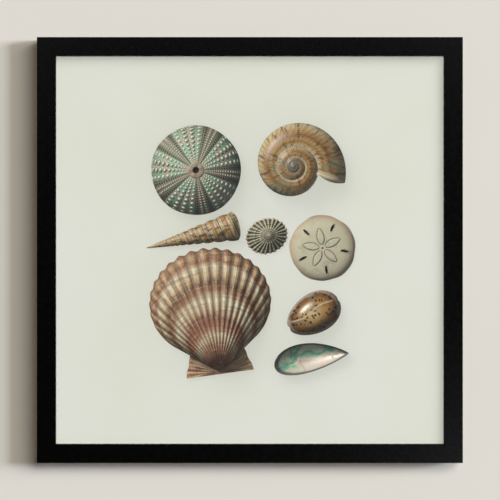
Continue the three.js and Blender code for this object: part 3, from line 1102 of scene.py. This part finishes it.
class Mussel(Shell):
    """The hollow side of a mussel's valve, its beak towards +x."""

    def level(self, m, x, z):
        """0 in the middle and 1 at the rim."""
        along = m.clamp(x * (1 / MUSSEL_HALF_LENGTH), -1.0, 1.0)
        width = m.maximum(((1 - along) * 0.5) ** 0.375, 0.05) * MUSSEL_HALF_WIDTH
        return m.hypot(along, (z - (1 - along * along) * MUSSEL_BOW) / width)

    def outline(self):
        a = ring_of(300)
        z = MUSSEL_HALF_WIDTH * np.sin(a) * np.sin(a / 2) ** 0.75 + MUSSEL_BOW * np.sin(a) ** 2
        return np.column_stack([MUSSEL_HALF_LENGTH * np.cos(a), z])

    def relief(self, x, z):
        q = np.clip(self.level(Numbers, x, z), 0, 1.02)
        bowl = 9 * np.maximum(1 - q**1.9, 0) ** 0.9
        scars = 0.35 * (1 - ease(np.hypot((x + 20) / 7.5, (z - 4) / 6), 0.92, 1))
        scars += 0.3 * (1 - ease(np.hypot((x - 24) / 3.2, (z + 1) / 2.6), 0.9, 1))
        return 10.2 - bowl - scars + 1.6 * ridge(q - 0.96, 0.035)

    def paint(self, g, x, z):
        """Mother-of-pearl, whose hue turns with the way it faces and drifts in soft clouds."""
        level = self.level(g, x, z)
        nx, _, nz = g.parts(g.attribute("facing"))
        cloud = g.grain(x, z, 16.0, 0.055, 0.55, 0.8)
        ripple = g.noise(g.vector(x * 0.25, 16.0, z), 0.35)
        fine = g.grain(x, z, 17.0, 0.7)
        pearl = g.ramp(
            nx * 0.55 - nz * 0.35 + cloud * 1.5 + ripple * 0.22 - 0.4,
            (0.0, 206, 200, 190), (0.14, 216, 196, 188), (0.28, 196, 168, 164), (0.42, 208, 206, 186),
            (0.55, 150, 196, 170), (0.68, 104, 158, 148), (0.8, 176, 200, 176), (1.0, 214, 206, 192),
        )
        colour = g.washes(
            pearl,
            ((70, 84, 98), level + fine * 0.06, 0.86, 0.95, 0.8),
            ((40, 34, 30), level, 0.955, 0.97),
            ((128, 86, 56), level, 0.98, 0.995, 0.8),
        )
        return printed(g, colour, gloss=0.5, sharp=30.0, grit=0.05, grit_mm=2.5)


PICTURE = [
    Scallop("scallop", (-30, -122), 8, 0.7),
    Urchin("urchin", (-54, 80), 12, 0.65),
    Snail("snail", (44, 84), -18, 1.0),
    SandDollar("sand_dollar", (73, 2), 10, 0.75),
    Cowrie("cowrie", (64, -64), 30, 1.0),
    Limpet("limpet", (17, 14), 20, 0.6),
    Auger("auger", (-104, 2), 14, 0.65),
    Mussel("mussel", (62, -110), 10, 1.0),
]


# The picture's light, reckoned on a raster of heights


RASTER_STEP = 0.5
PICTURE_HALF = (125.0, 150.0)
GROUND_STEP = 2.2
SUN_DEG = (105, 155)  # directions on the sheet that the picture's broad light comes from
SUN_RISE_DEG = (22, 52)
SKY_REACH, SUN_REACH = 40, 60  # how far off a height still shades
SKY_WAYS, SUN_WAYS = 16, 8  # how many directions are looked in
STRIDE_GROWTH = 1.18


def within(places, loop):
    """Whether each place lies inside a closed loop."""
    x, z = places.T
    odd = np.zeros(len(places), bool)
    for (ax, az), (bx, bz) in zip(loop, np.roll(loop, -1, axis=0)):
        if az != bz:
            odd ^= ((az > z) != (bz > z)) & (x < ax + (z - az) * (bx - ax) / (bz - az))
    return odd


class Raster:
    """The picture's heights on a square grid, and how open and how sunlit each point is."""

    def __init__(self, shells):
        self.x, self.z = [np.arange(-half, half + RASTER_STEP, RASTER_STEP) for half in PICTURE_HALF]
        places = np.stack(np.meshgrid(self.x, self.z), -1)
        self.height = np.zeros(places.shape[:2])
        self.owner = np.full(places.shape[:2], -1)
        for k, shell in enumerate(shells):
            loop = shell.loop()
            near = ((places >= loop.min(0)) & (places <= loop.max(0))).all(-1)
            near[near] = within(places[near], loop)
            self.owner[near] = k
            self.height[near] = shell.relief(*shell.own(places[near]))
        rises = [self.horizon(a, SKY_REACH) for a in ring_of(SKY_WAYS) + TURN / SKY_WAYS / 2]
        self.opened = np.mean([1 - t / np.sqrt(1 + t * t) for t in rises], axis=0)
        rises = [self.horizon(a, SUN_REACH) for a in np.radians(np.linspace(*SUN_DEG, SUN_WAYS))]
        self.sunlit = np.mean([1 - ease(np.degrees(np.arctan(t)), *SUN_RISE_DEG) for t in rises], axis=0)

    def shifted(self, dx, dz):
        """The heights this far away, those past the border held."""
        rows = np.clip(np.arange(len(self.z)) + round(dz / RASTER_STEP), 0, len(self.z) - 1)
        columns = np.clip(np.arange(len(self.x)) + round(dx / RASTER_STEP), 0, len(self.x) - 1)
        return self.height[rows][:, columns]

    def horizon(self, angle, reach):
        """The tangent of the highest rise that each point sees in one direction."""
        best = np.zeros(self.height.shape)
        away = RASTER_STEP
        while away < reach:
            higher = self.shifted(away * math.cos(angle), away * math.sin(angle)) - self.height
            best = np.maximum(best, higher / away)
            away = away * STRIDE_GROWTH + RASTER_STEP
        return best

    def cell(self, places):
        """The places as columns and rows of the grid, with their fractions."""
        u = np.clip((places[:, 0] - self.x[0]) / RASTER_STEP, 0, len(self.x) - 1.001)
        return u, np.clip((places[:, 1] - self.z[0]) / RASTER_STEP, 0, len(self.z) - 1.001)

    def read(self, values, places):
        """values at any places, between the grid's points."""
        u, v = self.cell(places)
        i, j = u.astype(int), v.astype(int)
        u, v = u - i, v - j
        low = values[j, i] * (1 - u) + values[j, i + 1] * u
        high = values[j + 1, i] * (1 - u) + values[j + 1, i + 1] * u
        return low * (1 - v) + high * v

    def owned(self, places, owner, margin):
        """Whether all that lies within margin of each place is the owner's."""
        ok = np.ones(len(places), bool)
        for a in ring_of(8):
            i, j = np.rint(self.cell(places + margin * polar(1, a))).astype(int)
            ok &= self.owner[j, i] == owner
        return ok


def staggered(low, high, step):
    """Points of an even triangular grid over a box."""
    rise = step * math.sqrt(3) / 2
    x, z = np.meshgrid(np.arange(low[0], high[0], step), np.arange(low[1], high[1], rise))
    x[1::2] += step / 2
    return np.column_stack([x.ravel(), z.ravel()])


# Printed sheet


GROUND = linear(226, 227, 218)
EDGE_SAMPLE = 0.7  # how far inside or outside an outline its own points take their light
SHELL_MARGIN, GROUND_MARGIN = 0.75, 1.0  # between an outline and the grids: of a shell's step, and in mm
SLOPE_STEP = 0.3
HALO_OPEN, HALO_SUN = 0.16, 0.1
CHART_FRONT, CHART_STRIP, CHART_EDGE = 0.96, 0.97, 0.01  # shares of the texture chart's side


def paper_finish(g, colour):
    """Matt coated paper under whatever is printed on it."""
    tooth = g.noise(g.spot(), 2.2, 3.0, 0.6)
    return g.surface(
        Base_Color=colour,
        Roughness=0.72,
        Specular_IOR_Level=0.25,
        Normal=g.bump(tooth, 0.00002, 0.35),
    )


def ground_paper():
    g = Graph("print_ground")
    colour = g.washes(GROUND, ((222, 225, 211), g.noise(g.spot(), 0.006), 0.3, 0.7))
    return paper_finish(g, g.scaled(colour, 1.0 - g.parts(g.attribute("halo"))[0]))


class Front:
    """The sheet's printed face: its points, what they carry for the materials, and its triangles."""

    def __init__(self, shells, half):
        self.raster = Raster(shells)
        self.places, self.owner, self.rim = [], [], []
        self.edges = []
        self.add_loop(np.array([(-half, -half), (half, -half), (half, half), (-half, half)]), -1)
        for k, shell in enumerate(shells):
            loop = shell.loop()
            self.add_loop(loop, k)
            inner = staggered(loop.min(0), loop.max(0), shell.step)
            self.add(inner[self.raster.owned(inner, k, SHELL_MARGIN * shell.step)], k, False)
        ground = staggered(-np.array(PICTURE_HALF), PICTURE_HALF, GROUND_STEP)
        self.add(ground[self.raster.owned(ground, -1, GROUND_MARGIN)], -1, False)
        self.places = np.concatenate(self.places)
        self.owner = np.concatenate(self.owner)
        self.rim = np.concatenate(self.rim)
        self.light(shells)
        self.part(shells)

    def add(self, places, owner, rim):
        first = sum(len(p) for p in self.places)
        self.places.append(places)
        self.owner.append(np.full(len(places), owner))
        self.rim.append(np.full(len(places), rim))
        return first

    def add_loop(self, loop, owner):
        first = self.add(loop, owner, True)
        count = len(loop)
        self.edges += [(first + i, first + (i + 1) % count) for i in range(count)]

    def outwards(self, shells):
        """For each point of an outline, a unit step away from its shell. Zero for all others."""
        steps = np.zeros(self.places.shape)
        for k in range(len(shells)):
            here = np.flatnonzero(self.rim & (self.owner == k))
            loop = self.places[here]
            after = np.roll(loop, -1, axis=0)
            along = after - np.roll(loop, 1, axis=0)
            area = np.sum(loop[:, 0] * after[:, 1] - after[:, 0] * loop[:, 1])
            step = along[:, ::-1] * (1, -1) * np.sign(area)
            steps[here] = step / np.maximum(np.linalg.norm(step, axis=1), 1e-9)[:, None]
        return steps

    def light(self, shells):
        steps = self.outwards(shells) * EDGE_SAMPLE
        inner, outer = self.places - steps, self.places + steps
        r = self.raster
        self.lit = np.column_stack([r.read(r.opened, inner), r.read(r.sunlit, inner), np.zeros(len(inner))])
        self.halo = HALO_OPEN * (1 - r.read(r.opened, outer)) + HALO_SUN * (1 - r.read(r.sunlit, outer))
        self.halo[:4] = 0
        self.facing = np.tile([0.0, 1.0, 0.0], (len(inner), 1))
        for k, shell in enumerate(shells):
            here = self.owner == k
            slope = []
            for step in ((SLOPE_STEP, 0), (0, SLOPE_STEP)):
                ahead = shell.relief(*shell.own(inner[here] + step))
                behind = shell.relief(*shell.own(inner[here] - step))
                slope.append((ahead - behind) / (2 * SLOPE_STEP))
            facing = np.column_stack([-slope[0], np.ones(len(slope[0])), -slope[1]])
            self.facing[here] = facing / np.linalg.norm(facing, axis=1)[:, None]

    def part(self, shells):
        """Triangles that keep to the outlines, and which shell each belongs to."""
        made = delaunay_2d_cdt([Vector(p) for p in self.places.tolist()], self.edges, [], 0, 1e-5, True)
        source = np.array([ids[0] for ids in made[3]])
        self.triangles = source[np.array(made[2])]
        owners = self.owner[self.triangles]
        on_rim = self.rim[self.triangles]
        inside = np.where(on_rim, -2, owners).max(1)
        self.part_of = np.where(inside == -2, owners.max(1), inside)
        loose = on_rim.all(1)
        centres = self.places[self.triangles].mean(1)
        for k, shell in enumerate(shells):
            mine = np.flatnonzero(loose & (self.part_of == k))
            self.part_of[mine[~within(centres[mine], shell.loop())]] = -1


def chart(mesh, front_corners, half):
    """A texture chart that gives the printed front nearly all of its area, and a strip to the rest."""
    corners = np.empty(len(mesh.loops), dtype=np.int32)
    mesh.loops.foreach_get("vertex_index", corners)
    places = np.empty(3 * len(mesh.vertices))
    mesh.vertices.foreach_get("co", places)
    places = places.reshape(-1, 3)[corners]
    u = (places[:, 0] / half + 1) / 2
    v = ((places[:, 2] - CENTRE.z) / half + 1) / 2
    on_front = np.arange(len(u)) < front_corners
    u = np.where(on_front, u * CHART_FRONT, CHART_STRIP + u * CHART_EDGE)
    layer = mesh.uv_layers.new(name="OFBake")
    layer.data.foreach_set("uv", CHART_EDGE + np.column_stack([u, v * CHART_FRONT]).ravel())


def sheet():
    """The printed sheet: one thin closed solid whose front is parted along the shells' outlines."""
    half = (PRINT_HIGH.x - PRINT_LOW.x) / 2 / MM
    front = Front(PICTURE, half)
    count = len(front.places)
    points = np.full((count + 4, 3), PRINT_LOW.y)
    points[:count, ::2] = front.places * MM + (0, CENTRE.z)
    points[count:] = points[:4]
    points[count:, 1] = PRINT_HIGH.y
    faces = front.triangles.tolist() + [[count, count + 1, count + 2, count + 3]]
    faces += [[i, (i + 1) % 4, count + (i + 1) % 4, count + i] for i in range(4)]
    indices = (front.part_of + 1).tolist() + [0] * 5
    materials = [ground_paper()] + [shell.material() for shell in PICTURE]
    mesh = mesh_of("print", points.tolist(), faces, materials, indices)
    back = np.zeros((4, 3))
    for name, values in (("facing", front.facing), ("lit", front.lit)):
        layer = mesh.attributes.new(name, "FLOAT_VECTOR", "POINT")
        layer.data.foreach_set("vector", np.concatenate([values, back]).ravel())
    layer = mesh.attributes.new("halo", "FLOAT", "POINT")
    layer.data.foreach_set("value", np.append(front.halo, np.zeros(4)))
    chart(mesh, 3 * len(front.triangles), half * MM)
    return piece("printed_sheet", mesh, "print", "print_sheet")


# Stage, camera and lights


WALL_HALF = 3.0
WALL_GAP = 0.05 * MM
FLOOR_DROP = 1.6
LENS_MM = 135.0
SENSOR_MM = 36.0
FRAME_PX = 500.0
PX_PER_MM = 1.0005  # in the plane of the frame's front
FRAME_CENTRE_PX = (249.84, 250.05)
WHITE, COOL = (1.0, 1.0, 1.0), (0.985, 1.024, 1.095)
WORLD_TINT, WORLD_STRENGTH = (1.0, 0.87, 0.68, 1.0), 0.06
# Each light: name, place from the picture's centre in metres, size, watts, colour. The wall's come
# from the right, with a faint fill from the left. The sheet has two of its own, because the frame
# shades it more faintly than the wall.
WALL_LIGHTS = (
    ("edge", (6.35, -5.0, 0.8), (1.1, 1.4), 292.0, COOL),
    ("front", (2.6, -5.0, 2.1), (4.8, 1.9), 236.0, (1.0, 0.945, 0.83)),
    ("graze", (9.5, -3.1, 1.2), (5.0, 2.0), 850.0, COOL),
    ("fill", (-1.4, -4.0, -1.0), (3.0, 3.0), 5.0, (1.0, 0.86, 0.68)),
)
SHEET_LIGHTS = (
    ("sheet_front", (0.0, -6.0, 0.1), (0.7, 0.7), 213.0, WHITE),
    ("sheet_side", (5.8, -6.8, 6.4), (9.0, 9.0), 745.0, WHITE),
)
REAR_LIGHTS = (
    ("rear_left", (-2.0, 2.6, 1.2), (1.6, 1.6), 110.0, WHITE),
    ("rear_right", (2.2, 2.4, 0.4), (1.2, 1.6), 60.0, WHITE),
)
# Small glows in front of the frame's corners, seen only in the lacquer: name, x, z, watts.
GLOWS = (
    ("low", 0.6, -0.6, 3.8), ("high", 0.6, 0.6, 2.47),
    ("left", -0.6, 0.62, 1.9), ("top", 0.0, 0.62, 0.76),
)
GLOW_Y, GLOW_SIZE, GLOW_TINT = -1.87, (0.3, 0.3), (0.9, 0.95, 1.0)


def wall_paint():
    """Matt wall paint on the side that faces the room, and nothing on the other."""
    g = Graph("wall_paint")
    drift = g.noise(g.spot(), 0.004)
    colour = g.blend(linear(221, 219, 214), linear(222, 220, 216), g.step(drift, 0.3, 0.7))
    paint = g.term("ShaderNodeBsdfDiffuse", {"Color": colour, "Roughness": 0.6})
    return g.end(g.mix(g.behind(), paint, g.term("ShaderNodeBsdfTransparent")))


def floor_paint():
    return Graph("floor_paint").surface(
        Base_Color=linear(170, 166, 158), Roughness=0.9, Specular_IOR_Level=0.1
    )


def stage_plane(name, corners, material):
    mesh = bpy.data.meshes.new(name)
    mesh.from_pydata(corners, [], [(0, 1, 2, 3)])
    mesh.materials.append(material)
    made = added(name, mesh)
    made.visible_diffuse = False
    return made


def stage():
    w, z = WALL_HALF, CENTRE.z
    wall = [(x * w, WALL_GAP, z + side * w) for x, side in ((-1, -1), (1, -1), (1, 1), (-1, 1))]
    stage_plane("wall", wall, wall_paint()).visible_shadow = False
    low = FOOT_Z - FLOOR_DROP
    floor = [(2 * x * w, 2 * y * w, low) for x, y in ((-1, -1), (1, -1), (1, 1), (-1, 1))]
    stage_plane("floor", floor, floor_paint())


def camera():
    lens = bpy.data.cameras.new("camera")
    lens.lens = LENS_MM
    lens.sensor_width = SENSOR_MM
    made = added("camera", lens)
    distance = FRAME_PX / PX_PER_MM * MM * LENS_MM / SENSOR_MM
    off_x = (FRAME_PX / 2 - FRAME_CENTRE_PX[0]) / PX_PER_MM * MM
    off_z = (FRAME_CENTRE_PX[1] - FRAME_PX / 2) / PX_PER_MM * MM
    made.location = CENTRE + Vector((off_x, -distance, off_z))
    made.rotation_euler = (math.pi / 2, 0, 0)
    bpy.context.scene.camera = made


def softbox(name, offset, size, watts, colour):
    """An area light that faces the picture's centre from offset."""
    lamp = bpy.data.lights.new(name, "AREA")
    lamp.shape = "RECTANGLE"
    lamp.size, lamp.size_y = size
    lamp.energy = watts
    lamp.color = colour
    made = added(name, lamp)
    made.location = CENTRE + Vector(offset)
    made.rotation_euler = (-Vector(offset)).to_track_quat("-Z", "Y").to_euler()
    made.visible_camera = False
    return made


def linked(light, receiver, state):
    """Lets the light reach only the receiver, state INCLUDE, or all but it, state EXCLUDE."""
    receivers = bpy.data.collections.new(light.name + "_receivers")
    receivers.objects.link(receiver)
    light.light_linking.receiver_collection = receivers
    receivers.collection_objects[0].light_linking.link_state = state


def lights(sheet_piece):
    for row in WALL_LIGHTS:
        made = softbox(*row)
        linked(made, sheet_piece, "EXCLUDE")
        made.visible_glossy = False
    for row in SHEET_LIGHTS:
        linked(softbox(*row), sheet_piece, "INCLUDE")
    for name, x, z, watts in GLOWS:
        made = softbox("glow_" + name, (x, GLOW_Y, z), GLOW_SIZE, watts, GLOW_TINT)
        made.visible_diffuse = False
    for row in REAR_LIGHTS:
        softbox(*row)
    world = bpy.data.worlds.new("room")
    world.use_nodes = True
    shade = world.node_tree.nodes["Background"]
    shade.inputs["Color"].default_value = WORLD_TINT
    shade.inputs["Strength"].default_value = WORLD_STRENGTH
    bpy.context.scene.world = world


black = lacquer()
bare = raw_wood()
bright_steel = metal("spring_steel", linear(196, 198, 202), linear(214, 216, 218), 0.32)
plated_brass = metal("plated_brass", linear(198, 164, 96), linear(220, 190, 124), 0.3)
rails(black, bare)
pane(clear_glass())
print_piece = sheet()
backing(hardboard())
for side_name in ("top", "right", "bottom", "left"):
    for end_name in ("a", "b"):
        tab(f"tab_{side_name}_{end_name}", bright_steel)
hanger(plated_brass)
nails(plated_brass)
bumpers(soft_rubber())
corner_nails(bright_steel)
stage()
camera()
lights(print_piece)
bpy.context.scene.view_settings.view_transform = "Standard"
